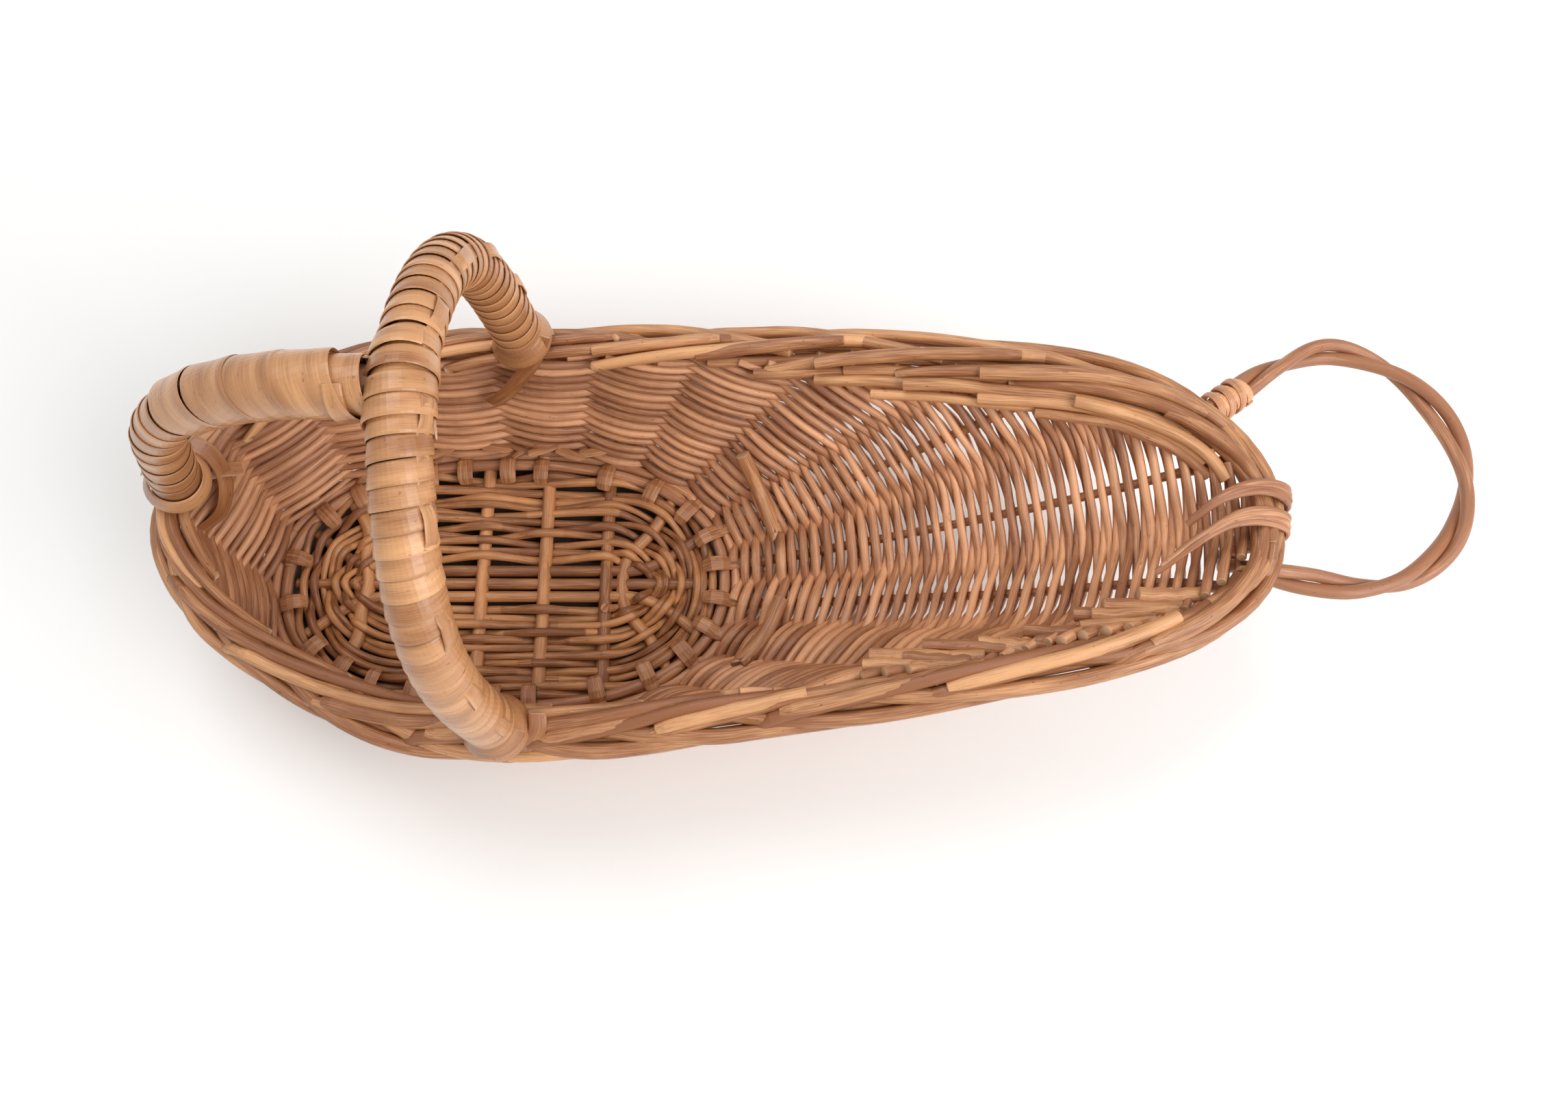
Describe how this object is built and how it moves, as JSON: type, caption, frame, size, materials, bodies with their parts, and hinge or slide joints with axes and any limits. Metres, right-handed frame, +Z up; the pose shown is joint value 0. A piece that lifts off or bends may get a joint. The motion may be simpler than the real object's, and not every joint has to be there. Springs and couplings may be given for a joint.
{
  "type": "wine bottle basket",
  "caption": "Woven willow cradle that holds a lying wine bottle, with a raised nose for the neck, a wrapped handle on legs and a twisted loop at the tip.",
  "frame": {"origin": "bottom centre of the whole basket's box, on the plane that it stands on", "axes": "+X from the tall tail end to the nose and its loop, +Y to the left seen from the tail, +Z up"},
  "size_m": [0.4384, 0.1552, 0.1771],
  "materials": {
    "willow_gold": "satin",
    "willow_brown": "satin",
    "willow_dark": "satin",
    "skein_honey": "semi-gloss"
  },
  "bodies": {
    "root": {"base_long_stick_1": "willow_brown", "base_long_stick_2": "willow_brown", "base_long_stick_3": "willow_brown", "base_cross_stick_1": "willow_brown", "base_cross_stick_2": "willow_brown", "base_cross_stick_3": "willow_brown", "base_cross_stick_4": "willow_brown", "base_cross_stick_5": "willow_brown", "base_weave": "willow_dark", "base_hoop": "willow_brown", "side_weave": "willow_brown", "side_stake_01": "willow_gold", "side_stake_02": "willow_gold", "side_stake_03": "willow_gold", "side_stake_04": "willow_gold", "side_stake_05": "willow_gold", "side_stake_06": "willow_gold", "side_stake_07": "willow_gold", "side_stake_08": "willow_gold", "side_stake_09": "willow_gold", "side_stake_10": "willow_gold", "side_stake_11": "willow_gold", "side_stake_12": "willow_gold", "side_stake_13": "willow_gold", "side_stake_14": "willow_gold", "side_stake_15": "willow_gold", "side_stake_16": "willow_gold", "side_stake_17": "willow_gold", "side_stake_18": "willow_gold", "side_stake_19": "willow_gold", "side_stake_20": "willow_gold", "side_stake_21": "willow_gold", "side_stake_22": "willow_gold", "side_stake_23": "willow_gold", "side_stake_24": "willow_gold", "side_stake_25": "willow_gold", "side_stake_26": "willow_gold", "handle_bow": "willow_brown", "handle_strut": "willow_brown", "handle_bow_wrap": "skein_honey", "handle_strut_wrap": "skein_honey", "handle_tee_binding": "skein_honey", "handle_foot_tie_near": "skein_honey", "handle_foot_tie_far": "skein_honey", "handle_foot_tie_tail": "skein_honey", "nose_tie_near": "willow_gold", "nose_tie_far": "willow_gold", "ring_rod_1": "willow_dark", "ring_rod_2": "willow_dark", "ring_lashing": "willow_brown"}
  },
  "joints": []
}
